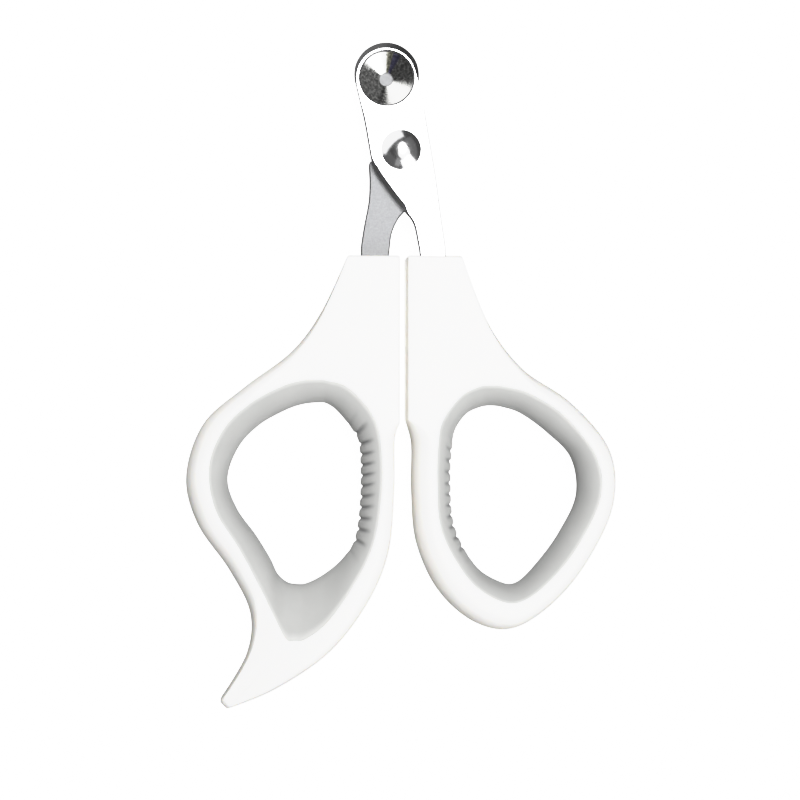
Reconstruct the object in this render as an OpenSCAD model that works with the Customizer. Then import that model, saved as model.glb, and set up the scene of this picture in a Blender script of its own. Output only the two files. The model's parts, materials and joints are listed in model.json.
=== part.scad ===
// Pet nail trimmer: scissor-action clipper with a countersunk claw guide.
// It lies flat and almost closed.  +Y points to the blade tips, +X to the right half, +Z up.
// Everything is drawn from a point next to the pivot axis, halfway between the two blades, and
// is then set down so that the origin is on the table, under the middle of the whole tool.

/* [Blades] */
// Thickness of each blade plate
blade_t = 2.2; // [1.5:0.1:2.6]
// Running gap between the two blades
blade_gap = 0.1; // [0.06:0.02:0.2]
// Diameter of the claw guide's countersunk dish
dish_d = 11; // [9:0.5:11.5]
// Diameter of the claw hole at the bottom of the dish
claw_hole_d = 2.7; // [2:0.1:4]
// Height of the straight wall of the claw hole
claw_land = 0.4; // [0.2:0.1:0.8]
// Width of the ground bevel along the cutting edge
bevel_w = 1.6; // [0.8:0.2:2.4]
// Length of each tang inside its handle
tang_len = 22; // [14:1:24]

/* [Pivot rivet] */
// Diameter of the rivet's shank
shank_d = 4; // [3:0.5:5]
// Diameter of the polished front head
head_d = 7.8; // [6:0.2:9]
// Height of the polished front head
head_h = 1.4; // [0.8:0.1:2]
// Diameter of the formed tail
tail_d = 5.8; // [5.6:0.2:7]
// Height of the formed tail
tail_h = 0.9; // [0.5:0.1:1.2]
// Outer diameter of the washer under the tail
washer_d = 7; // [6.4:0.2:9]
// Thickness of the washer
washer_t = 0.5; // [0.3:0.1:0.8]
// Radial running clearance of the rear blade on the shank
pivot_play = 0.05; // [0.02:0.01:0.1]

/* [Handles] */
// Thickness of both handles
handle_t = 10.6; // [9:0.2:13]
// Width of the rounding between the outer wall and the flat top
edge_r = 2.6; // [1:0.2:3]
// Height of the same rounding
edge_h = 3.3; // [1:0.1:4]
// Width of the softer rounding where the loops rest in the hand
palm_r = 3.8; // [2:0.1:3.9]
// Width of the tight rounding around the shoulders and the flat inner faces
crisp_r = 0.5; // [0.3:0.1:1]
// Distance from the middle of the drawing to the ends of the handles, where the blades come out
shoulder_y = 20.5; // [19:0.1:22]
// Gap between the flat inner faces of the handles
stop_gap = 1.5; // [0.9:0.1:1.8]

/* [Grip ribs] */
// Number of grooves in the left grip
left_grooves = 13; // [0:1:14]
// Number of grooves in the right grip
right_grooves = 12; // [0:1:12]
// Distance from groove to groove
groove_pitch = 2.06; // [1.8:0.02:2.4]
// Radius of one groove
groove_r = 0.6; // [0.3:0.1:0.8]

/* [Hidden] */
$fn = 96;
half_t = handle_t / 2;
blade_z = blade_gap / 2;
shank_r = shank_d / 2;
stop_x = 0.4;                 // the middle of the gap between the stop faces
least_wall = 0.3;             // half the upright wall that stays under a full rounding
tang_fit = 0.02;              // play of a tang in its moulded pocket
notch_r = 1;                  // notches that lock a tang in the plastic
axial_play = 0.05;            // end play of the rear blade under the washer
far = 40;                     // larger than anything that it has to cut
steps = 5;                    // spline steps from one row of an outline to the next
arc_steps = 4;                // steps around one rounded edge
steel = [0.80, 0.81, 0.83];
satin = [0.66, 0.67, 0.69];
white = [0.96, 0.96, 0.94];
grey = [0.66, 0.67, 0.68];

// Where the drawing's own origin goes, to centre the tool's bounding box
drawing_pos = [0, 43.15, half_t];
// The pivot axis, from there
pivot_at = [0.1, 0.35];

// Claw guide and blade tips
dish_pos = [-2.7, 14.3];
front_tip = [-2.8, 14.3];
front_tip_r = 5.89;
rear_tip = [-2.6, 15.34];
rear_tip_r = 6.38;

// Edges of the front blade, from the left side of its tip down to the tang and back up
front_left = [[-7.9, 10], [-6.9, 5.5], [-5.7, -1.3], [-5, -3.7], [-2.1, -7.9], [0.8, -11.5],
              [2.6, -14], [3.6, -18.4], [4.6, -23.5]];
front_right = [[8.1, -23.5], [8.8, -19.9], [7.8, -12.4], [6.8, -4.9], [5.3, 4], [4.1, 10.6]];
front_tang = [3.8, 8.9];

// Edges of the rear blade.  The left one is the cutting edge, from the tip to the heel
rear_left = [[-7.9, 11.5], [-6.7, 5.5], [-5.4, -0.9], [-6, -2.2], [-5.9, -5.6], [-6.1, -9.6],
             [-7.1, -15], [-7.6, -19.3], [-6.9, -23.5]];
rear_right = [[-2.7, -23.5], [-2.1, -19.5], [-1.6, -15.8], [-0.3, -12.9], [1.6, -10.6],
              [3.6, -7.2], [4.9, -1], [4.5, 4], [3.7, 11]];
rear_tang = [-7.7, -1.9];

// One row per cross-section of a finger loop, anticlockwise from the inner corner of the
// shoulder: the outer edge, the seam between plastic and soft grip, and the edge of the finger
// hole, each as x and y, then the width of the edge rounding and half the thickness there
right_stop = stop_x + stop_gap / 2;
right_rows = [
    [right_stop, -shoulder_y, 15.1, -45.9, 15.4, -49.9, crisp_r, half_t],
    [right_stop, -36, 11.7, -47.6, 12.9, -51.2, crisp_r, half_t],
    [right_stop, -52.4, 8.6, -51.4, 10.8, -54.2, crisp_r, half_t],
    [ 2.2, -57,    7.3, -55.1,  10.2, -57.6, palm_r, half_t],
    [ 2.2, -66.3,  6.9, -64.0,   9.9, -64.3, palm_r, half_t],
    [ 3.2, -76.3,  7.8, -73.8,  10.7, -73.1, palm_r, half_t],
    [ 7.5, -85.6, 12.8, -82.8,  14.7, -80.7, palm_r, half_t],
    [14.7, -91.9, 18.5, -87.1,  19.6, -84.0, palm_r, half_t],
    [22.5, -93.0, 23.5, -87.4,  23.1, -84.1, palm_r, half_t],
    [31.2, -87.1, 29.6, -82.7,  27.2, -80.1, palm_r, half_t],
    [38.1, -77.6, 34.9, -75.7,  31.4, -74.3, palm_r, half_t],
    [41.9, -67.9, 38.8, -67.0,  34.7, -67.1, palm_r, half_t],
    [40.9, -57.9, 37.8, -59.3,  33.7, -59.8, palm_r, half_t],
    [33.3, -48.9, 31.5, -51.4,  29.0, -54.8, edge_r, half_t],
    [23.7, -42.2, 24.8, -47.2,  23.9, -51.1, edge_r, half_t],
    [16.8, -33.0, 20.1, -45.9,  20.2, -49.8, edge_r, half_t],
    [11.7, -shoulder_y, 17.3, -45.7, 17.6, -49.5, crisp_r, half_t]];
right_corners = [0, 2, 16];
left_stop = stop_x - stop_gap / 2;
left_rows = [
    [-10.4, -shoulder_y, -16.4, -44.6, -16.2, -48.9, crisp_r, half_t],
    [-15.4, -31.2, -19.4, -44.8, -19.3, -49.3, edge_r, half_t],
    [-21.2, -39.0, -23.2, -45.9, -22.6, -50.5, edge_r, half_t],
    [-30.4, -46.0, -29.0, -49.0, -27.5, -53.3, edge_r, half_t],
    [-38.3, -53.1, -34.2, -54.0, -31.5, -57.6, palm_r, half_t],
    [-41.6, -63.2, -37.0, -61.3, -33.6, -63.7, palm_r, half_t],
    [-39.4, -72.4, -35.8, -69.5, -31.8, -69.5, palm_r, half_t],
    [-33.3, -81.3, -31.2, -77.1, -28.1, -74.7, palm_r, half_t],
    [-29.2, -89.8, -27.2, -84.6, -25.3, -79.3, palm_r, half_t],
    [-30.0, -98.0, -24.6, -90.0, -23.9, -82.2, 3.2, 4.6],
    [-35.1, -106.7, -22.3, -94.3, -22.1, -83.8, 1.6, 3.6],
    [-33.7, -108.2, -20.7, -94.7, -20.5, -84.2, 1.6, 3.6],
    [-24.5, -104.6, -18.6, -94.4, -18.3, -84.1, edge_r, 4.6],
    [-14.1, -97.6, -14.6, -91.4, -14.9, -82.4, edge_r, half_t],
    [ -6.7, -88.3,  -9.8, -84.9, -11.3, -79.4, edge_r, half_t],
    [ -2.4, -78.2,  -5.6, -76.5,  -8.8, -75.3, edge_r, half_t],
    [ -1.3, -66.2,  -3.9, -66.1,  -7.8, -67.3, edge_r, half_t],
    [ -1.2, -56.4,  -4.1, -56.6,  -7.9, -57.9, edge_r, half_t],
    [left_stop, -53.0, -5.9, -51.0, -9.0, -54.7, crisp_r, half_t],
    [left_stop, -36, -10.3, -46.2, -12.0, -50.8, crisp_r, half_t],
    [left_stop, -shoulder_y, -14.2, -44.8, -14.3, -49.1, crisp_r, half_t]];
left_corners = [0, 10, 11, 18, 20];

// Smooth curve through a closed ring of rows, whatever number of values a row has.  The first
// two values of a row are its outer edge, and where the row is a corner they turn sharply there
function slope(rows, k, corners) =
    let (n = len(rows),
         rise = (rows[(k + 1) % n] - rows[(k + n - 1) % n]) / 2)
    [for (i = [0:len(rise) - 1]) i < 2 && len(search(k % n, corners)) > 0 ? 0 : rise[i]];
function curve_point(a, b, slope_a, slope_b, t) =
    a * (1 + 2 * t) * (1 - t) * (1 - t) + b * t * t * (3 - 2 * t)
        + slope_a * t * (1 - t) * (1 - t) - slope_b * t * t * (1 - t);
function spline(rows, corners = []) =
    [for (k = [0:len(rows) - 1], i = [0:steps - 1])
        curve_point(rows[k], rows[(k + 1) % len(rows)],
            slope(rows, k, corners), slope(rows, k + 1, corners), i / steps)];

function arc(centre, r, from, to, n) =
    [for (i = [0:n]) let (a = from + (to - from) * i / n) centre + r * [cos(a), sin(a)]];

function outer(row) = [row[0], row[1]];
function seam(row) = [row[2], row[3]];
function hole(row) = [row[4], row[5]];
function lift(p, z) = [p.x, p.y, z];
function mirrored(half) =
    concat(half, [for (i = [len(half) - 1:-1:0]) [half[i].x, half[i].y, -half[i].z]]);

// Cross-section of the plastic: a flat wall, a rounded edge and a flat top up to the seam
function shell_section(row) =
    let (span = seam(row) - outer(row),
         r = min(max(row[6], crisp_r), palm_r, 0.8 * norm(span)),
         top = min(row[7], half_t),
         wall = max(top - r * edge_h / edge_r, least_wall))
    mirrored(concat(
        [for (i = [0:arc_steps]) let (a = 90 * i / arc_steps)
            lift(outer(row) + span / norm(span) * r * (1 - cos(a)), wall + (top - wall) * sin(a))],
        [lift(seam(row), half_t)]));

// Cross-section of the soft grip: a quarter ellipse from the seam down into the hole
function grip_section(row) =
    mirrored([for (i = [0:arc_steps]) let (a = 90 * i / (arc_steps + 0.5))
        lift(seam(row) + (hole(row) - seam(row)) * sin(a), half_t * cos(a))]);

// Solid ring through a closed run of cross-sections
module ring(sections) {
    n = len(sections);
    m = len(sections[0]);
    function at(i, j) = (i % n) * m + j % m;
    polyhedron(
        points = [for (s = sections) each s],
        faces = [for (i = [0:n - 1], j = [0:m - 1])
            each [[at(i, j), at(i, j + 1), at(i + 1, j)],
                  [at(i + 1, j), at(i, j + 1), at(i + 1, j + 1)]]]);
}

module set_down() {
    translate(drawing_pos) children();
}

// Tang outline with its two locking notches; grow makes the pocket it sits in
module tang(span, grow = 0) {
    reach = tang_len + grow;
    difference() {
        translate([span[0] - grow, -shoulder_y - reach])
            square([span[1] - span[0] + 2 * grow, reach + 1.5]);
        for (x = span)
            translate([x, -shoulder_y - 0.7 * tang_len]) circle(notch_r - grow);
    }
}

module front_outline() {
    polygon(spline(concat(arc(front_tip, front_tip_r, 10, 190, 6), front_left, front_right)));
}

module rear_outline() {
    polygon(spline(concat(arc(rear_tip, rear_tip_r, 10, 190, 6), rear_left, rear_right)));
}

module front_blade() {
    color(steel) translate([0, 0, blade_z]) difference() {
        linear_extrude(blade_t) union() {
            front_outline();
            tang(front_tang);
        }
        translate([pivot_at.x, pivot_at.y, -1]) cylinder(h = blade_t + 2, r = shank_r);
        translate([dish_pos.x, dish_pos.y, -1]) cylinder(h = blade_t + 2, d = claw_hole_d);
        translate([dish_pos.x, dish_pos.y, claw_land])
            cylinder(h = blade_t - claw_land, d1 = claw_hole_d, d2 = dish_d);
    }
}

module rear_blade() {
    heel = [-5.4, -0.9];
    toe = [-8.9, 16];
    lean = atan2(heel.x - toe.x, toe.y - heel.y);
    color(satin) translate([0, 0, -blade_z - blade_t]) difference() {
        linear_extrude(blade_t) union() {
            rear_outline();
            tang(rear_tang);
        }
        translate([pivot_at.x, pivot_at.y, -1])
            cylinder(h = blade_t + 2, r = shank_r + pivot_play);
        // the ground bevel leaves the sharp edge on the side that meets the front blade
        translate([heel.x, heel.y, blade_t]) rotate([0, 0, lean])
            rotate([0, -atan2(bevel_w, blade_t), 0]) translate([-far, 1.5, -far])
                cube([far, far, 2 * far]);
    }
}

module pivot_rivet() {
    dome_r = (pow(head_d / 2, 2) + head_h * head_h) / (2 * head_h);
    tail_r = (pow(tail_d / 2, 2) + tail_h * tail_h) / (2 * tail_h);
    head_z = blade_z + blade_t;
    tail_z = -head_z - axial_play - washer_t;
    color(steel) translate([pivot_at.x, pivot_at.y, 0]) union() {
        translate([0, 0, tail_z]) cylinder(h = head_z - tail_z, r = shank_r);
        intersection() {
            translate([0, 0, head_z + head_h - dome_r]) sphere(dome_r);
            translate([0, 0, head_z]) cylinder(h = head_h + 1, d = head_d + 1);
        }
        intersection() {
            translate([0, 0, tail_z - tail_h + tail_r]) sphere(tail_r);
            translate([0, 0, tail_z - tail_h - 1]) cylinder(h = tail_h + 1, d = tail_d + 1);
        }
    }
}

module rivet_washer() {
    color(steel) translate([pivot_at.x, pivot_at.y, -blade_z - blade_t - axial_play - washer_t])
        difference() {
            cylinder(h = washer_t, d = washer_d);
            translate([0, 0, -1]) cylinder(h = washer_t + 2, r = shank_r);
        }
}

// One plastic handle with the pocket for its tang
module handle(rows, corners, tang_span, pocket_z) {
    color(white) difference() {
        ring([for (row = spline(rows, corners)) shell_section(row)]);
        translate([0, 0, pocket_z - tang_fit])
            linear_extrude(blade_t + 2 * tang_fit) tang(tang_span, tang_fit);
    }
}

module right_handle() {
    handle(right_rows, right_corners, front_tang, blade_z);
}

module left_handle() {
    handle(left_rows, left_corners, rear_tang, -blade_z - blade_t);
}

// Upright grooves along the edge of the finger hole, from row to row, top_y being the first
module grooves(rows, from, to, top_y, count) {
    points = spline(rows);
    edge = [for (i = [from * steps:to * steps]) let (p = hole(points[i])) [p.y, p.x]];
    for (i = [0:1:count - 1]) {
        y = top_y - i * groove_pitch;
        translate([lookup(y, edge), y, -half_t]) cylinder(h = handle_t, r = groove_r);
    }
}

module right_grip() {
    color(grey) difference() {
        ring([for (row = spline(right_rows)) grip_section(row)]);
        grooves(right_rows, 2, 6, -56.4, right_grooves);
    }
}

module left_grip() {
    color(grey) difference() {
        ring([for (row = spline(left_rows)) grip_section(row)]);
        grooves(left_rows, 14, 19, -53, left_grooves);
    }
}

set_down() front_blade();
set_down() rear_blade();
set_down() pivot_rivet();
set_down() rivet_washer();
set_down() right_handle();
set_down() left_handle();
set_down() right_grip();
set_down() left_grip();
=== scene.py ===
"""Pet nail trimmer: its looks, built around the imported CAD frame.

Shapes are drawn in millimetres from a point next to the pivot axis, halfway between the two
blades, as in the CAD part. They become metres in the row frame when a mesh is made."""

import json
import math

import bmesh
import bpy
import numpy as np
from mathutils import Matrix, Vector

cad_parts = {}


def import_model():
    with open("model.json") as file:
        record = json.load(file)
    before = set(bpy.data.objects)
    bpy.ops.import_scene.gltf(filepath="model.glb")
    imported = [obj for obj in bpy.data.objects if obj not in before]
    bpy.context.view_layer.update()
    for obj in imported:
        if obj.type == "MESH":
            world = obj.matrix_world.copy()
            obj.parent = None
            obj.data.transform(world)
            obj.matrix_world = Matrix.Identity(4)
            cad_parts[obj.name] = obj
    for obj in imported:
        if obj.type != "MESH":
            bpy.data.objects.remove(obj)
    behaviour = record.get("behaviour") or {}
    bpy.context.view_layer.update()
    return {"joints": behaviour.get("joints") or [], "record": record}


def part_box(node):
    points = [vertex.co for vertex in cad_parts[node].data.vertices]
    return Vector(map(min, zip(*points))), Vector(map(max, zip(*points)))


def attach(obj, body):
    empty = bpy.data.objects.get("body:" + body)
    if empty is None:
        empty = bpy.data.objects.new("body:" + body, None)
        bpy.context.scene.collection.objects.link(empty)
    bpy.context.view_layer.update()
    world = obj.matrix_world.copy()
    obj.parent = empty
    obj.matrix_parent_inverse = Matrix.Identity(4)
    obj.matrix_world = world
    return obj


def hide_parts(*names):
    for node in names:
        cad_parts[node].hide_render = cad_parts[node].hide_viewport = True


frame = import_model()

# ---------------------------------------------------------------- sizes, in millimetres
MM = 0.001
pivot = Vector(frame["joints"][0]["pos_m"])
rivet_at = (0.1, 0.35)                     # the pivot axis in the drawing
origin = pivot - Vector(rivet_at).to_3d() * MM   # of the drawing, in the row frame


def level(node, side):
    """Height of a CAD node's underside (side 0) or top (side 1) above the pivot's middle."""
    return (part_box(node)[side].z - pivot.z) / MM


half_t = level("right_handle", 1)          # half the handles' thickness
front_low, front_top = level("front_blade", 0), level("front_blade", 1)
rear_low, rear_top = level("rear_blade", 0), level("rear_blade", 1)
washer_low, washer_top = level("rivet_washer", 0), level("rivet_washer", 1)
rivet_low, rivet_top = level("pivot_rivet", 0), level("pivot_rivet", 1)

shoulder_y = 20.5                          # from the drawing's origin to the handles' ends
shank_r, head_r, tail_r, washer_r = 2.0, 3.9, 2.9, 3.5
bore_play = 0.05                           # rear blade on the shank
dish_pos, dish_r = (-2.7, 14.3), 5.5
claw_r, claw_land = 1.35, 0.4              # claw hole, and the height of its straight wall
claw_lip = 0.03                            # broken edge under the claw hole
rim_w, rim_h = 0.36, 0.46                  # steeper band just inside the dish's rim
chamfer_tip, chamfer = 0.08, 0.2           # broken edges: round the dish, and elsewhere
heel_bevel_w, heel_bevel_h = 0.62, 0.6     # extra bevel of the front blade's lower left edge
heel_bevel_start, heel_bevel_end = (-1, -3.6), (-12.5, -10.5)   # y over which it comes and goes
tip_bevel_w, tip_bevel_h = 1.1, 0.45       # bevel round the rear blade's tip
bevel_w = 1.6                              # ground bevel of the cutting edge
bevel_share = 0.93                         # share of it reached where the lower chamfer starts
heel, toe = np.array([-5.4, -0.9]), np.array([-8.9, 16.0])   # ends of the cutting edge
lip_w, lip_h = 0.02, 0.06                  # narrow step round the rivet's head and tail
washer_chamfer = 0.08                      # its broken outer edges

edge_r, edge_h = 2.6, 3.3                  # outer rounding of the finger loops: width, height
palm_r = 3.8                               # the same where the loops rest in the hand
least_wall = 0.3                           # half the upright wall under a full rounding
round_share = 0.8                          # most of the plastic's width that rounding may take
crisp_r = 0.5                              # tight rounding of shoulders and stop faces
left_stop, right_stop = -0.35, 1.15        # flat inner faces of the two handles
corner_w = 0.9                             # length over which upright corners are rounded
seam_drop, seam_w = 0.07, 0.5              # how the plastic rolls down to the soft grip
parting_w, parting_h = 0.05, 0.22          # raised line where the two mould halves met
parting_flat = 0.35                        # share of its height that is flat
tuck = 0.3                                 # how far the soft grip reaches under the plastic
narrow_grip, wide_grip = 4.6, 9.5          # widths between which its slope straightens
straightening = 0.85                       # what that takes from the slope's power
feather = 0.16                             # share of its width that thins out on the plastic
rib_pitch, rib_sharpness = 2.06, 3.2
rib_fade = 2                               # ribs over which a row of them fades in and out
# Depth of the grooves between the ribs, and the share of the grip's width where they begin and
# where they reach that depth
left_ribs, right_ribs = (0.42, 0.22, 0.8), (0.36, 0.38, 0.9)

# Steps from one row to the next, round the loops, along their ribs and round the blades, and
# the number of sides of what is round
row_steps, rib_steps, blade_steps = 24, 80, 16
dish_sides, bore_sides, rivet_sides = 192, 64, 144

# One row per cross-section of a finger loop, anticlockwise from the inner corner of the
# shoulder: outer edge, seam between plastic and soft grip, edge of the finger hole, each as
# x and y, then the width of the edge rounding and half the thickness at the outer edge.
right_rows = [
    [right_stop, -shoulder_y, 15.1, -45.9, 15.4, -49.9, crisp_r, half_t],
    [right_stop, -36.0, 11.7, -47.6, 12.9, -51.2, crisp_r, half_t],
    [right_stop, -52.4, 8.6, -51.4, 10.8, -54.2, crisp_r, half_t],
    [2.2, -57.0, 7.3, -55.1, 10.2, -57.6, palm_r, half_t],
    [2.2, -66.3, 6.9, -64.0, 9.9, -64.3, palm_r, half_t],
    [3.2, -76.3, 7.8, -73.8, 10.7, -73.1, palm_r, half_t],
    [7.5, -85.6, 12.8, -82.8, 14.7, -80.7, palm_r, half_t],
    [14.7, -91.9, 18.5, -87.1, 19.6, -84.0, palm_r, half_t],
    [22.5, -93.0, 23.5, -87.4, 23.1, -84.1, palm_r, half_t],
    [31.2, -87.1, 29.6, -82.7, 27.2, -80.1, palm_r, half_t],
    [38.1, -77.6, 34.9, -75.7, 31.4, -74.3, palm_r, half_t],
    [41.9, -67.9, 38.8, -67.0, 34.7, -67.1, palm_r, half_t],
    [40.9, -57.9, 37.8, -59.3, 33.7, -59.8, palm_r, half_t],
    [33.3, -48.9, 31.5, -51.4, 29.0, -54.8, edge_r, half_t],
    [23.7, -42.2, 24.8, -47.2, 23.9, -51.1, edge_r, half_t],
    [16.8, -33.0, 20.1, -45.9, 20.2, -49.8, edge_r, half_t],
    [11.7, -shoulder_y, 17.3, -45.7, 17.6, -49.5, crisp_r, half_t]]
right_corners = [0, 2, 16]
left_rows = [
    [-10.4, -shoulder_y, -16.4, -44.6, -16.2, -48.9, crisp_r, half_t],
    [-15.4, -31.2, -19.4, -44.8, -19.3, -49.3, edge_r, half_t],
    [-21.2, -39.0, -23.2, -45.9, -22.6, -50.5, edge_r, half_t],
    [-30.4, -46.0, -29.0, -49.0, -27.5, -53.3, edge_r, half_t],
    [-38.3, -53.1, -34.2, -54.0, -31.5, -57.6, palm_r, half_t],
    [-41.6, -63.2, -37.0, -61.3, -33.6, -63.7, palm_r, half_t],
    [-39.4, -72.4, -35.8, -69.5, -31.8, -69.5, palm_r, half_t],
    [-33.3, -81.3, -31.2, -77.1, -28.1, -74.7, palm_r, half_t],
    [-29.2, -89.8, -27.2, -84.6, -25.3, -79.3, palm_r, half_t],
    [-30.0, -98.0, -24.6, -90.0, -23.9, -82.2, 3.2, 4.6],
    [-35.1, -106.7, -22.3, -94.3, -22.1, -83.8, 1.6, 3.6],
    [-33.7, -108.2, -20.7, -94.7, -20.5, -84.2, 1.6, 3.6],
    [-24.5, -104.6, -18.6, -94.4, -18.3, -84.1, edge_r, 4.6],
    [-14.1, -97.6, -14.6, -91.4, -14.9, -82.4, edge_r, half_t],
    [-6.7, -88.3, -9.8, -84.9, -11.3, -79.4, edge_r, half_t],
    [-2.4, -78.2, -5.6, -76.5, -8.8, -75.3, edge_r, half_t],
    [-1.3, -66.2, -3.9, -66.1, -7.8, -67.3, edge_r, half_t],
    [-1.2, -56.4, -4.1, -56.6, -7.9, -57.9, edge_r, half_t],
    [left_stop, -53.0, -5.9, -51.0, -9.0, -54.7, crisp_r, half_t],
    [left_stop, -36.0, -10.3, -46.2, -12.0, -50.8, crisp_r, half_t],
    [left_stop, -shoulder_y, -14.2, -44.8, -14.3, -49.1, crisp_r, half_t]]
left_corners = [0, 10, 11, 18, 20]

# Edges of the blades: down the left side from the tip to the handle and back up
front_tip, front_tip_r = (-2.8, 14.3), 5.89
rear_tip, rear_tip_r = (-2.6, 15.34), 6.38
front_edges = [
    [-7.9, 10], [-6.9, 5.5], [-5.7, -1.3], [-5, -3.7], [-2.1, -7.9], [0.8, -11.5],
    [2.6, -14], [3.6, -18.4], [4.6, -23.5],
    [8.1, -23.5], [8.8, -19.9], [7.8, -12.4], [6.8, -4.9], [5.3, 4], [4.1, 10.6]]
rear_edges = [
    [-7.9, 11.5], [-6.7, 5.5], [-5.4, -0.9], [-6, -2.2], [-5.9, -5.6], [-6.1, -9.6],
    [-7.1, -15], [-7.6, -19.3], [-6.9, -23.5],
    [-2.7, -23.5], [-2.1, -19.5], [-1.6, -15.8], [-0.3, -12.9], [1.6, -10.6], [3.6, -7.2],
    [4.9, -1], [4.5, 4], [3.7, 11]]


# ---------------------------------------------------------------- curves
def spline(rows, corners=(), steps=row_steps, fine=()):
    """Smooth curve through a closed ring of rows. At a corner the first two values turn
    sharply. Rows listed in fine get rib_steps steps up to the next row."""
    rows = np.array(rows, float)
    slopes = (np.roll(rows, -1, 0) - np.roll(rows, 1, 0)) / 2
    for k in corners:
        slopes[k, :2] = 0
    points = []
    for k in range(len(rows)):
        after = (k + 1) % len(rows)
        count = rib_steps if k in fine else steps
        for t in np.arange(count) / count:
            points.append(rows[k] * (1 + 2 * t) * (1 - t) ** 2 + rows[after] * t * t * (3 - 2 * t)
                          + slopes[k] * t * (1 - t) ** 2 - slopes[after] * t * t * (1 - t))
    return np.array(points)


def soften(curve, width):
    """Averages a closed curve over a short length of itself, which rounds only its corners."""
    closed = np.vstack([curve, curve[:1]])
    run = np.concatenate([[0], np.cumsum(np.linalg.norm(np.diff(closed, axis=0), axis=1))])
    shifts = np.linspace(-width / 2, width / 2, 11)
    total = 0
    for shift in shifts:
        at = (run[:-1] + shift) % run[-1]
        total = total + np.stack([np.interp(at, run, closed[:, k]) for k in (0, 1)], axis=1)
    return total / len(shifts)


def arc(centre, radius, start, end, count):
    angles = np.radians(np.linspace(start, end, count + 1))
    return [[centre[0] + radius * math.cos(a), centre[1] + radius * math.sin(a)] for a in angles]


def ramp(x, low, high):
    """Smooth step from 0 at low to 1 at high."""
    t = np.clip((x - low) / (high - low), 0, 1)
    return t * t * (3 - 2 * t)


# ---------------------------------------------------------------- meshes
def add_piece(name, points, faces, node, materials, sharp_deg, face_material=None):
    """Closed mesh from points of the drawing. It stands for a CAD node."""
    mesh = bpy.data.meshes.new(name)
    mesh.from_pydata([origin + Vector(p) * MM for p in points], [], faces)
    for material in materials:
        mesh.materials.append(material)
    if face_material is not None:
        mesh.polygons.foreach_set("material_index", face_material)
    work = bmesh.new()
    work.from_mesh(mesh)
    bmesh.ops.recalc_face_normals(work, faces=work.faces)
    work.to_mesh(mesh)
    work.free()
    mesh.shade_smooth()
    mesh.set_sharp_from_angle(angle=math.radians(sharp_deg))
    piece = bpy.data.objects.new(name, mesh)
    bpy.context.scene.collection.objects.link(piece)
    body = next(b for b, nodes in frame["record"]["behaviour"]["bodies"].items() if node in nodes)
    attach(piece, body)
    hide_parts(node)
    return piece


def loft(sections):
    """Faces of a ring through n closed cross-sections of m points each."""
    n, m = sections.shape[:2]
    faces = []
    for i in range(n):
        here, after = i * m, (i + 1) % n * m
        for j in range(m):
            k = (j + 1) % m
            faces.append((here + j, here + k, after + k, after + j))
    return sections.reshape(-1, 3), faces


def section(start, direction, half):
    """Closed cross-section from its upper half, given as distance from start along direction
    and height."""
    lower = half[::-1] * [1, -1]
    ring = np.vstack([half, lower])
    return np.column_stack([start + ring[:, :1] * direction, ring[:, 1]])


def shell_half(span, rounding, top):
    """Upper half of the plastic: parting line, wall, rounded edge, top, roll-down at the seam."""
    r = min(max(rounding, crisp_r), palm_r, round_share * span)
    top = min(top, half_t)
    wall = max(top - r * edge_h / edge_r, least_wall)
    rise = top - wall
    points = [(-parting_w, parting_h * parting_flat), (0, parting_h), (0, wall * 0.6)]
    points += [(r * (1 - math.cos(a)), wall + rise * math.sin(a))
               for a in np.linspace(0, math.pi / 2, 13)]
    roll = span - seam_w
    points += [(r + (roll - r) * t, top + (half_t - top) * t) for t in (0.2, 0.4, 0.6, 0.8)]
    points += [(roll + seam_w * math.sin(a), half_t - seam_drop * (1 - math.cos(a)))
               for a in np.linspace(0, math.pi / 2, 7)]
    points += [(span, half_t * 0.5)]
    return np.array(points)


def handle(name, rows, corners, node, materials):
    """One plastic handle: a ring of cross-sections between the outer edge and the seam."""
    curve = spline(rows, corners)
    outer = soften(curve[:, :2], corner_w)
    sections = []
    for row, edge in zip(curve, outer):
        span = row[2:4] - edge
        length = np.linalg.norm(span)
        sections.append(section(edge, span / length, shell_half(length, row[6], row[7])))
    points, faces = loft(np.array(sections))
    return add_piece(name, points, faces, node, materials, 40)


def grip_half(width):
    """Upper half of the soft grip: it rolls from the seam down into the finger hole, and the
    wider it is, the straighter its slope."""
    power = 2 - straightening * ramp(width, narrow_grip, wide_grip)
    top = half_t - seam_drop
    share = np.sin(np.linspace(0, math.pi / 2, 31)[:-1])
    roll = np.column_stack([share * width, top * np.sqrt(1 - share ** power)])
    return roll, share


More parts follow.
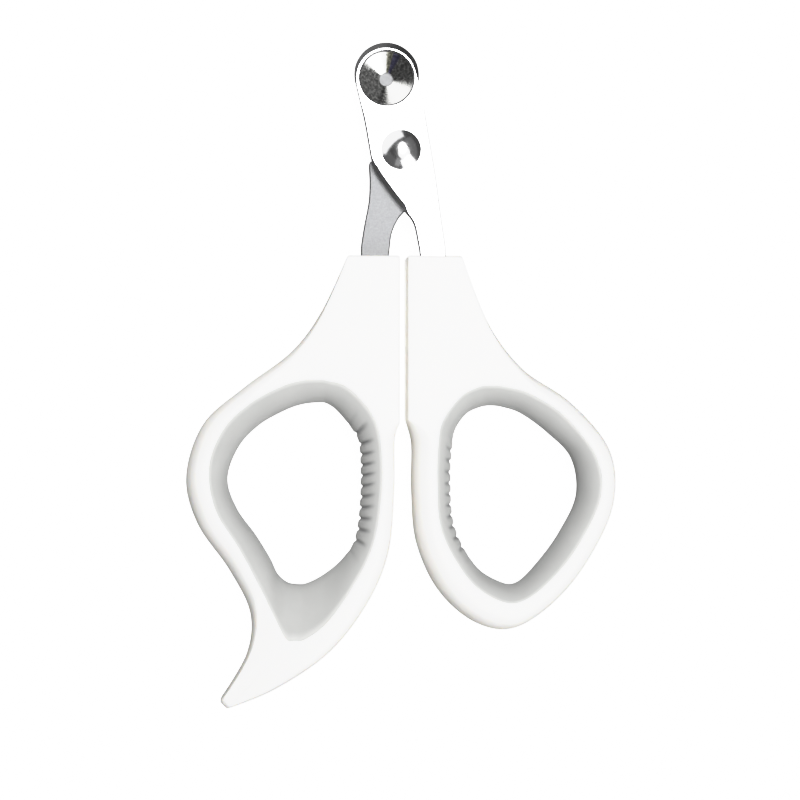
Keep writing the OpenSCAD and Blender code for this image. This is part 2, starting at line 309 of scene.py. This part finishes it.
def grip(name, rows, ribs, first_y, count, cut, node, materials):
    """One soft grip with its ribs, which are pressed in along the rows listed in ribs. The
    first of count grooves lies at first_y; cut is left_ribs or right_ribs."""
    curve = spline(rows, fine=ribs)
    first_groove = ribs[0] * row_steps
    last_groove = first_groove + len(ribs) * rib_steps
    deep, begin, full = cut
    sections, grooves, feathers = [], [], []
    for index, row in enumerate(curve):
        span = row[4:6] - row[2:4]
        width = np.linalg.norm(span)
        half, share = grip_half(width)
        depth = np.zeros(len(share))
        turn = (first_y - row[5]) / rib_pitch
        if first_groove <= index <= last_groove and -0.5 < turn < count - 0.5:
            wave = (0.5 + 0.5 * math.cos(2 * math.pi * turn)) ** rib_sharpness
            wave *= ramp(min(turn + 0.5, count - 0.5 - turn), 0, rib_fade)
            depth = wave * ramp(share, begin, full)
        along = np.gradient(half, axis=0)
        normal = np.column_stack([-along[:, 1], along[:, 0]])
        normal /= np.linalg.norm(normal, axis=1)[:, None]
        half = half - normal * (depth * deep)[:, None]
        tail = np.array([[-tuck, half_t * 0.5], [-tuck, half[0, 1] - tuck]])
        half = np.vstack([tail, half])
        sections.append(section(row[2:4], span / width, half))
        for marks, values in ((grooves, depth), (feathers, 1 - ramp(share, 0, feather))):
            ring = np.concatenate([values[:1], values[:1], values])
            marks.append(np.concatenate([ring, ring[::-1]]))
    points, faces = loft(np.array(sections))
    piece = add_piece(name, points, faces, node, materials, 60)
    for mark, values in (("groove", grooves), ("feather", feathers)):
        layer = piece.data.attributes.new(mark, "FLOAT", "POINT")
        layer.data.foreach_set("value", np.concatenate(values).astype(np.float32))
    return piece


FACE, EDGE, DISH, RIM = 0, 1, 2, 3                # a plate's materials


def inward(outline):
    """Unit normals that point into a closed anticlockwise outline."""
    along = np.roll(outline, -1, 0) - np.roll(outline, 1, 0)
    along /= np.linalg.norm(along, axis=1)[:, None]
    return np.column_stack([-along[:, 1], along[:, 0]])


def circle(centre, radius, count):
    return np.array(arc(centre, radius, 0, 360 - 360 / count, count - 1))


def plate(name, stacks, node, materials):
    """Flat plate. Each stack is one closed wall, from the top face down to the underside, as a
    list of (outline, height, material number); the first stack is the plate's outer edge."""
    work = bmesh.new()
    top_edges, low_edges = [], []
    for stack in stacks:
        rings = [[work.verts.new((x, y, stack[0][1])) for x, y in outline]
                 for outline, height, number in stack]
        for upper, lower, (outline, height, number) in zip(rings, rings[1:], stack[1:]):
            heights = np.broadcast_to(height, len(outline))
            for vert, z in zip(lower, heights):
                vert.co.z = z
            for i in range(len(upper)):
                k = (i + 1) % len(upper)
                face = work.faces.new((upper[i], lower[i], lower[k], upper[k]))
                face.material_index = number
        for ring, edges in ((rings[0], top_edges), (rings[-1], low_edges)):
            for i in range(len(ring)):
                edges.append(work.edges.get((ring[i], ring[(i + 1) % len(ring)])))
    bmesh.ops.triangle_fill(work, edges=top_edges, use_beauty=True)
    bmesh.ops.triangle_fill(work, edges=low_edges, use_beauty=True)
    work.verts.index_update()
    points = [v.co.copy() for v in work.verts]
    faces = [[v.index for v in f.verts] for f in work.faces]
    numbers = [f.material_index for f in work.faces]
    work.free()
    return add_piece(name, points, faces, node, materials, 25, numbers)


def edge_stack(outline, low, top, broken, low_inset=0.0, top_inset=0.0, top_drop=0.0):
    """Outer wall of a plate with its edges broken by a chamfer. low_inset draws its lower edge in
    further; top_inset and top_drop widen the upper chamfer. All may differ from point to point."""
    normals = inward(outline)
    broken, low_inset, top_inset, top_drop = [np.broadcast_to(x, len(outline))
                                              for x in (broken, low_inset, top_inset, top_drop)]
    return [(outline + normals * (broken + top_inset)[:, None], top, EDGE),
            (outline, top - broken - top_drop, EDGE),
            (outline + normals * (low_inset * bevel_share)[:, None], low + broken, EDGE),
            (outline + normals * (low_inset + broken)[:, None], low, EDGE)]


def hole_stack(centre, profile, count):
    """Wall of a round hole, from (radius, height, material number) rows."""
    return [(circle(centre, radius, count), z, number) for radius, z, number in profile]


def blade_outline(tip, tip_r, edges):
    """Outline of a blade: an arc of seven points round its tip, then the rows of its edges."""
    return spline(arc(tip, tip_r, 10, 190, 6) + edges, steps=blade_steps)


def front_blade(materials):
    """Front blade with its claw dish, straight claw hole and rivet hole."""
    outline = blade_outline(front_tip, front_tip_r, front_edges)
    x, y = outline.T
    left_side, round_dish = x < 4, ramp(y, 6, 10)
    lower_left = ramp(y, *heel_bevel_start) * ramp(y, *heel_bevel_end) * left_side
    broken = chamfer + (chamfer_tip - chamfer) * round_dish
    wide, high = dish_r - rim_w, front_top - rim_h
    cone = [(dish_r, front_top, EDGE)]
    for t in np.linspace(0, 1, 12):
        cone.append((wide + (claw_r - wide) * t, high + (front_low + claw_land - high) * t,
                     DISH if t > 0 else RIM))
    cone += [(claw_r, front_low + claw_lip, DISH), (claw_r + claw_lip, front_low, DISH)]
    bore = [(shank_r, front_top, FACE), (shank_r, front_low, FACE)]
    edge = edge_stack(outline, front_low, front_top, broken,
                      top_inset=lower_left * heel_bevel_w, top_drop=lower_left * heel_bevel_h)
    return plate("front_blade_plate", [edge, hole_stack(dish_pos, cone, dish_sides),
                                       hole_stack(rivet_at, bore, bore_sides)],
                 "front_blade", materials)


def rear_blade(materials):
    """Rear blade, ground from below along its cutting edge and bevelled round its tip."""
    outline = blade_outline(rear_tip, rear_tip_r, rear_edges)
    line = (toe - heel) / np.linalg.norm(toe - heel)
    inside = (outline - heel) @ np.array([line[1], -line[0]])
    above_heel, tip = ramp(outline[:, 1], 0.5, 3), ramp(outline[:, 1], 12, 17)
    ground = np.clip(bevel_w - inside, 0, bevel_w) * above_heel
    bore = [(shank_r + bore_play, rear_top, FACE), (shank_r + bore_play, rear_low, FACE)]
    edge = edge_stack(outline, rear_low, rear_top, chamfer, ground,
                      tip * tip_bevel_w, tip * tip_bevel_h)
    return plate("rear_blade_plate", [edge, hole_stack(rivet_at, bore, bore_sides)],
                 "rear_blade", materials)


def turned(name, profile, node, materials):
    """Solid of revolution round the pivot, from a closed profile of (radius, height) rows.
    A radius of 0 at both ends closes it on the axis."""
    points, faces = [], []
    count = rivet_sides
    solid = profile[0][0] == 0
    rings = profile[1:-1] if solid else profile
    for radius, z in rings:
        points += [(x, y, z) for x, y in circle(rivet_at, radius, count)]
    pairs = len(rings) - 1 if solid else len(rings)
    for i in range(pairs):
        here, after = i * count, (i + 1) % len(rings) * count
        for j in range(count):
            k = (j + 1) % count
            faces.append((here + j, here + k, after + k, after + j))
    if solid:
        for centre, start in ((profile[0], 0), (profile[-1], (len(rings) - 1) * count)):
            points.append((*rivet_at, centre[1]))
            faces += [(len(points) - 1, start + j, start + (j + 1) % count) for j in range(count)]
    return add_piece(name, points, faces, node, materials, 28)


def dome(radius, height, count):
    """Radius and rise of a shallow dome, from its top to its rim."""
    ball = (radius ** 2 + height ** 2) / (2 * height)
    return [(r, height - ball + math.sqrt(ball ** 2 - r ** 2))
            for r in np.linspace(0, radius, count)]


def pivot_rivet(materials):
    """Rivet: domed head on the front blade, shank, and the tail formed under the washer."""
    head = [(r, front_top + rise) for r, rise in dome(head_r, rivet_top - front_top, 24)]
    tail = [(r, washer_low - rise) for r, rise in dome(tail_r, washer_low - rivet_low, 12)]
    head[-1] = (head_r - lip_w, front_top + lip_h)
    under = [(head_r, front_top + lip_w), (shank_r, front_top), (shank_r, washer_low),
             (tail_r, washer_low - lip_w)]
    return turned("pivot_rivet_body", head + under + tail[::-1][1:], "pivot_rivet",
                  materials)


def rivet_washer(materials):
    """Flat washer on the shank, with its outer edges broken."""
    c = washer_chamfer
    profile = [(shank_r, washer_top), (washer_r - c, washer_top), (washer_r, washer_top - c),
               (washer_r, washer_low + c), (washer_r - c, washer_low), (shank_r, washer_low)]
    return turned("rivet_washer_ring", profile, "rivet_washer", materials)


# ---------------------------------------------------------------- materials
class Graph:
    """A material's nodes. Values are numbers, colours or another node's output."""

    def __init__(self, name):
        self.material = bpy.data.materials.new(name)
        self.material.use_nodes = True
        self.tree = self.material.node_tree
        self.surface = self.tree.nodes["Principled BSDF"]
        self.place = self.add("ShaderNodeTexCoord").outputs["Object"]

    def put(self, node, inputs):
        for key, value in inputs.items():
            if isinstance(value, bpy.types.NodeSocket):
                self.tree.links.new(value, node.inputs[key])
            else:
                node.inputs[key].default_value = value

    def add(self, kind, inputs=None, **settings):
        node = self.tree.nodes.new(kind)
        for key, value in settings.items():
            setattr(node, key, value)
        self.put(node, inputs or {})
        return node

    def noise(self, per_metre, detail=3.0, stretch=(1, 1, 1)):
        """Noise with about per_metre blotches to a metre, pulled out along an axis by stretch."""
        place = self.add("ShaderNodeMapping", {"Vector": self.place, "Scale": stretch})
        return self.add("ShaderNodeTexNoise", {"Vector": place.outputs[0], "Scale": per_metre,
                                               "Detail": detail}).outputs["Fac"]

    def span(self, value, low, high, start=0.0, end=1.0):
        """value from start to end, as low to high."""
        return self.add("ShaderNodeMapRange", {"Value": value, "From Min": start, "From Max": end,
                                               "To Min": low, "To Max": high}).outputs["Result"]

    def mix(self, share, a, b):
        node = self.add("ShaderNodeMix", {0: share, 6: a, 7: b}, data_type="RGBA")
        return node.outputs[2]

    def maths(self, operation, a, b=0.0):
        return self.add("ShaderNodeMath", {0: a, 1: b}, operation=operation).outputs[0]

    def bump(self, height, depth_mm, normal=None):
        inputs = {"Height": height, "Distance": depth_mm * MM, "Strength": 1.0}
        if normal is not None:
            inputs["Normal"] = normal
        return self.add("ShaderNodeBump", inputs).outputs["Normal"]

    def finish(self, **inputs):
        self.put(self.surface, {key.replace("_", " "): value for key, value in inputs.items()})
        return self.material


def white_plastic():
    """Warm white moulded plastic, with a painted cream shade on its upright walls."""
    g = Graph("white_plastic")
    facing = g.add("ShaderNodeSeparateXYZ", {0: g.add("ShaderNodeNewGeometry").outputs["Normal"]})
    # Painted shade: the colour turns cream where the surface faces sideways rather than up.
    upward = g.span(g.maths("ABSOLUTE", facing.outputs["Z"]), 0, 1, 0.05, 0.75)
    base = g.mix(upward, (0.90, 0.868, 0.80, 1), (0.90, 0.89, 0.87, 1))
    base = g.mix(g.span(g.noise(90), 0, 0.5), base, (0.88, 0.872, 0.84, 1))
    flow = g.bump(g.noise(260, 2), 0.03)
    skin = g.bump(g.noise(3200, 2), 0.006, flow)
    return g.finish(Base_Color=base, Roughness=g.span(g.noise(420), 0.30, 0.44), Normal=skin,
                    Subsurface_Weight=0.4, Subsurface_Radius=(1.0, 0.85, 0.65),
                    Subsurface_Scale=0.0022, IOR=1.49)


def grey_rubber():
    """Matte soft grip with a fine grain; the grooves between the ribs get painted shade."""
    g = Graph("grey_rubber")
    base = g.mix(g.noise(150, 4), (0.40, 0.402, 0.394, 1), (0.47, 0.472, 0.463, 1))
    # Painted shade: the colour darkens towards near black with the depth of the grooves.
    painted_groove_shade = g.add("ShaderNodeAttribute", attribute_name="groove").outputs["Fac"]
    base = g.mix(g.maths("MULTIPLY", painted_groove_shade, 0.7), base, (0.15, 0.15, 0.155, 1))
    thin = g.add("ShaderNodeAttribute", attribute_name="feather").outputs["Fac"]
    base = g.mix(g.maths("MULTIPLY", thin, 0.6), base, (0.72, 0.72, 0.70, 1))
    grain = g.bump(g.noise(5200, 2), 0.02)
    return g.finish(Base_Color=base, Roughness=g.span(g.noise(900), 0.62, 0.8), Normal=grain,
                    Sheen_Weight=0.15, Sheen_Roughness=0.5)


def polished_steel():
    """Bright plate with faint lengthwise polishing marks."""
    g = Graph("polished_steel")
    marks = g.noise(900, 4, (9, 0.7, 9))
    return g.finish(Base_Color=(0.90, 0.905, 0.91, 1), Metallic=1.0,
                    Roughness=g.span(marks, 0.16, 0.30), Normal=g.bump(marks, 0.0025))


def turned_steel():
    """The dish: bright steel with fine rings left by turning, with painted dark speckle where it
    reflects dark and a painted rainbow reflection in one wedge.
    """
    g = Graph("turned_steel")
    centre = origin + Vector(dish_pos).to_3d() * MM
    away = g.add("ShaderNodeVectorMath", {0: g.place, 1: centre}, operation="SUBTRACT").outputs[0]
    flat = g.add("ShaderNodeVectorMath", {0: away, 1: (1, 1, 0)}, operation="MULTIPLY").outputs[0]
    radius = g.add("ShaderNodeVectorMath", {0: flat}, operation="LENGTH").outputs["Value"]
    rings = g.add("ShaderNodeTexNoise", {"W": radius, "Scale": 5200.0, "Detail": 4.0},
                  noise_dimensions="1D").outputs["Fac"]
    tangent = g.add("ShaderNodeVectorTransform", {0: flat}, vector_type="VECTOR",
                    convert_from="OBJECT", convert_to="WORLD").outputs[0]
    sides = g.add("ShaderNodeSeparateXYZ", {0: flat})
    turn = g.maths("ARCTAN2", sides.outputs["Y"], sides.outputs["X"])

    def after(edge):
        """1 past a sector's edge, which is the pair of angles where it begins and ends."""
        return g.span(turn, 0, 1, *edge)

    def before(edge):
        return g.span(turn, 1, 0, *edge)

    # Edges of the sectors, in radians from +X: painted dark and speckled from 0 to 90 degrees,
    # where a wedge with a painted reflection tint ends it, and from 148 degrees round to -100
    right_low, right_high, left_high, left_low = (-0.06, 0), (1.52, 1.6), (2.55, 2.6), (-1.8, -1.7)
    wedge_low, wedge_middle = (0.95, 1.05), (1.27, 1.35)
    wedge = g.maths("MULTIPLY", after(wedge_low), before(right_high))
    # Painted reflection: across the wedge the colour runs from violet to beige, like rainbow light
    # off turned rings.
    painted_reflection_tint = g.mix(after(wedge_middle), (0.36, 0.35, 0.56, 1), (0.56, 0.55, 0.44, 1))
    right = g.maths("MULTIPLY", after(right_low), before(right_high))
    left = g.maths("MAXIMUM", after(left_high), before(left_low))
    grain = g.span(g.noise(2300, 5), 0, 1, 0.40, 0.64)
    # Painted shade: in the two dark sectors the grain darkens the colour towards grey.
    painted_dark_spots = g.maths("MULTIPLY", g.maths("SUBTRACT", 1.0, grain), g.maths("MAXIMUM", right, left))
    grain_and_painted_dark = g.mix(painted_dark_spots, (1.0, 1.0, 0.98, 1), (0.45, 0.45, 0.44, 1))
    painted_dish_colour = g.mix(wedge, grain_and_painted_dark, painted_reflection_tint)
    return g.finish(Base_Color=painted_dish_colour, Metallic=1.0, Anisotropic=0.75, Tangent=tangent,
                    Roughness=g.span(grain, 0.05, 0.13), Normal=g.bump(rings, 0.004))


def satin_steel():
    """Blasted plate: even, matte and finely grained."""
    g = Graph("satin_steel")
    blasted = g.mix(g.noise(3200, 5), (0.34, 0.343, 0.35, 1), (0.48, 0.483, 0.495, 1))
    return g.finish(Base_Color=blasted, Metallic=1.0, Roughness=g.span(g.noise(1500), 0.60, 0.74),
                    Normal=g.bump(g.noise(7000, 2), 0.012))


def edge_steel(name, low, high):
    """Cut and ground edges with marks across them, coloured darker than the faces as painted
    shade.
    """
    g = Graph(name)
    marks = g.noise(2500, 4, (1, 1, 0.2))
    return g.finish(Base_Color=g.mix(marks, (low, low, low, 1), (high, high, 1.02 * high, 1)),
                    Metallic=1.0, Roughness=g.span(marks, 0.35, 0.5), Normal=g.bump(marks, 0.01))


def rivet_steel():
    """Mirror-polished rivet with a trace of handling marks."""
    g = Graph("rivet_steel")
    return g.finish(Base_Color=(0.84, 0.84, 0.85, 1), Metallic=1.0,
                    Roughness=g.span(g.noise(1200, 4), 0.12, 0.22),
                    Normal=g.bump(g.noise(500, 2), 0.01))


# ---------------------------------------------------------------- the object
plastic, rubber = white_plastic(), grey_rubber()
handle("right_handle_shell", right_rows, right_corners, "right_handle", [plastic])
handle("left_handle_shell", left_rows, left_corners, "left_handle", [plastic])
grip("right_grip_lining", right_rows, (2, 3, 4, 5), -56.4, 12, right_ribs, "right_grip", [rubber])
grip("left_grip_lining", left_rows, (14, 15, 16, 17, 18), -53.0, 13, left_ribs, "left_grip",
     [rubber])
# Painted shade: the front blade's edges are coloured darker than its faces.
cut_edge = edge_steel("edge_steel", 0.20, 0.38)
# Painted shade: the steep band inside the dish's rim is coloured darker still, as a dark ring.
front_blade([polished_steel(), cut_edge, turned_steel(), edge_steel("rim_painted_shade", 0.14, 0.26)])
# Painted shade: all the rear blade's edges, with the bevel round its tip, are coloured near black.
rear_blade([satin_steel(), edge_steel("rear_edge_painted_shade", 0.07, 0.16)])
rivet = rivet_steel()
pivot_rivet([rivet])
rivet_washer([rivet])


# ---------------------------------------------------------------- stage, light and camera
floor_glow, backdrop_glow, ambient = 1.95, 1.6, 0.06
gap_w, gap_len, gap_y = 1.4, 34, -37       # strip of light under the gap, in millimetres
gap_glow, above_floor = 2.6, 0.1           # its radiance, and its height over the floor
stand_from = 30                            # tilt from which a lamp stands upright
camera_pos, camera_target = Vector((-24, -50, 375)), Vector((0, -48.4, 0))
# Tone curve: light, and how bright the picture shows it
tone_points = ((0.72, 0.72), (0.98, 0.90), (1.3, 0.94), (2.1, 1.0))
brightest = 4


def floor():
    """Pale sheet, which throws back little light but looks white to the camera."""
    mesh = bpy.data.meshes.new("floor")
    mesh.from_pydata([(-3, -3, 0), (3, -3, 0), (3, 3, 0), (-3, 3, 0)], [], [(0, 1, 2, 3)])
    g = Graph("floor")
    seen = g.add("ShaderNodeLightPath").outputs["Is Camera Ray"]
    mesh.materials.append(g.finish(Base_Color=(0.18, 0.18, 0.18, 1), Roughness=0.9,
                                   Emission_Color=(1, 1, 1, 1),
                                   Emission_Strength=g.maths("MULTIPLY", seen, floor_glow)))
    plane = bpy.data.objects.new("floor", mesh)
    bpy.context.scene.collection.objects.link(plane)


def aim(thing, place, target, above=(0, 1, 0)):
    """Stands a lamp or the camera at place, looking at target, with the direction above up."""
    ahead = (target - place).normalized()
    right = ahead.cross(Vector(above)).normalized()
    up = right.cross(ahead)
    turn = Matrix((right, up, -ahead)).transposed()
    thing.matrix_world = Matrix.Translation(place) @ turn.to_4x4()


def softbox(name, azimuth, tilt, distance, width, height, radiance, shape="RECTANGLE"):
    """Flat lamp aimed at the origin. Its azimuth from +X and its tilt from the vertical are in
    degrees, its distance and size in metres."""
    lamp = bpy.data.lights.new(name, "AREA")
    lamp.shape = shape
    lamp.size, lamp.size_y = width, height
    lamp.energy = radiance * math.pi * width * height
    box = bpy.data.objects.new(name, lamp)
    bpy.context.scene.collection.objects.link(box)
    a, t = math.radians(azimuth), math.radians(tilt)
    middle = Vector((0, 0, 0))
    away = Vector((math.cos(a) * math.sin(t), math.sin(a) * math.sin(t), math.cos(t)))
    above = (0, 0, 1) if tilt > stand_from else (0, 1, 0)
    aim(box, middle + away * distance, middle, above)


def gap_light():
    """What the bright floor throws up into the narrow gap between the handles."""
    middle = (left_stop + right_stop) / 2
    lamp = bpy.data.lights.new("gap_light", "AREA")
    lamp.shape = "RECTANGLE"
    lamp.size, lamp.size_y = gap_w * MM, gap_len * MM
    lamp.energy = gap_glow * math.pi * lamp.size * lamp.size_y
    strip = bpy.data.objects.new("gap_light", lamp)
    strip.visible_camera = False
    bpy.context.scene.collection.objects.link(strip)
    place = origin + Vector((middle, gap_y, above_floor - half_t)) * MM
    aim(strip, place, place + Vector((0, 0, MM)))


def camera():
    lens = bpy.data.cameras.new("camera")
    lens.lens, lens.sensor_width = 86.4, 36.0
    lens.clip_start = 0.01
    view = bpy.data.objects.new("camera", lens)
    bpy.context.scene.collection.objects.link(view)
    aim(view, origin + camera_pos * MM, origin + camera_target * MM)
    bpy.context.scene.camera = view


def world():
    """Dim room around the lamps; the camera itself sees a pale backdrop."""
    space = bpy.data.worlds.new("studio")
    space.use_nodes = True
    tree = space.node_tree
    tree.nodes.clear()
    sight = tree.nodes.new("ShaderNodeLightPath")
    seen, lit = tree.nodes.new("ShaderNodeBackground"), tree.nodes.new("ShaderNodeBackground")
    seen.inputs["Strength"].default_value = backdrop_glow
    lit.inputs["Strength"].default_value = ambient
    for node in (seen, lit):
        node.inputs["Color"].default_value = (1, 1, 1, 1)
    mix, out = tree.nodes.new("ShaderNodeMixShader"), tree.nodes.new("ShaderNodeOutputWorld")
    tree.links.new(sight.outputs["Is Camera Ray"], mix.inputs[0])
    tree.links.new(lit.outputs[0], mix.inputs[1])
    tree.links.new(seen.outputs[0], mix.inputs[2])
    tree.links.new(mix.outputs[0], out.inputs[0])
    bpy.context.scene.world = space


def tone():
    """Tone curve in which white plastic levels off just under full white."""
    settings = bpy.context.scene.view_settings
    settings.view_transform = "Standard"
    settings.use_curve_mapping = True
    curves = settings.curve_mapping
    curves.clip_max_x = brightest
    line = curves.curves[3]
    line.points[0].location, line.points[1].location = (0, 0), (brightest, 1)
    for light, shown in tone_points:
        line.points.new(light, shown)
    for point in line.points:
        point.handle_type = "VECTOR"
    curves.update()


floor()
world()
softbox("key_softbox", 62, 15, 0.8, 0.36, 0.52, 7.6, "ELLIPSE")
softbox("lower_softbox", -22, 14, 0.8, 0.62, 0.62, 1.3, "ELLIPSE")
softbox("upper_left_softbox", 133, 62, 0.9, 1.84, 0.72, 1.28)
softbox("right_card", 20, 48, 0.9, 1.3, 0.5, 0.08)
softbox("left_card", 225, 48, 0.9, 1.3, 0.5, 0.06)
softbox("lower_right_softbox", 308, 56, 0.9, 0.72, 0.92, 2.9)
softbox("fill_card", 256, 42, 0.9, 0.26, 0.50, 0.22)
gap_light()
camera()
tone()
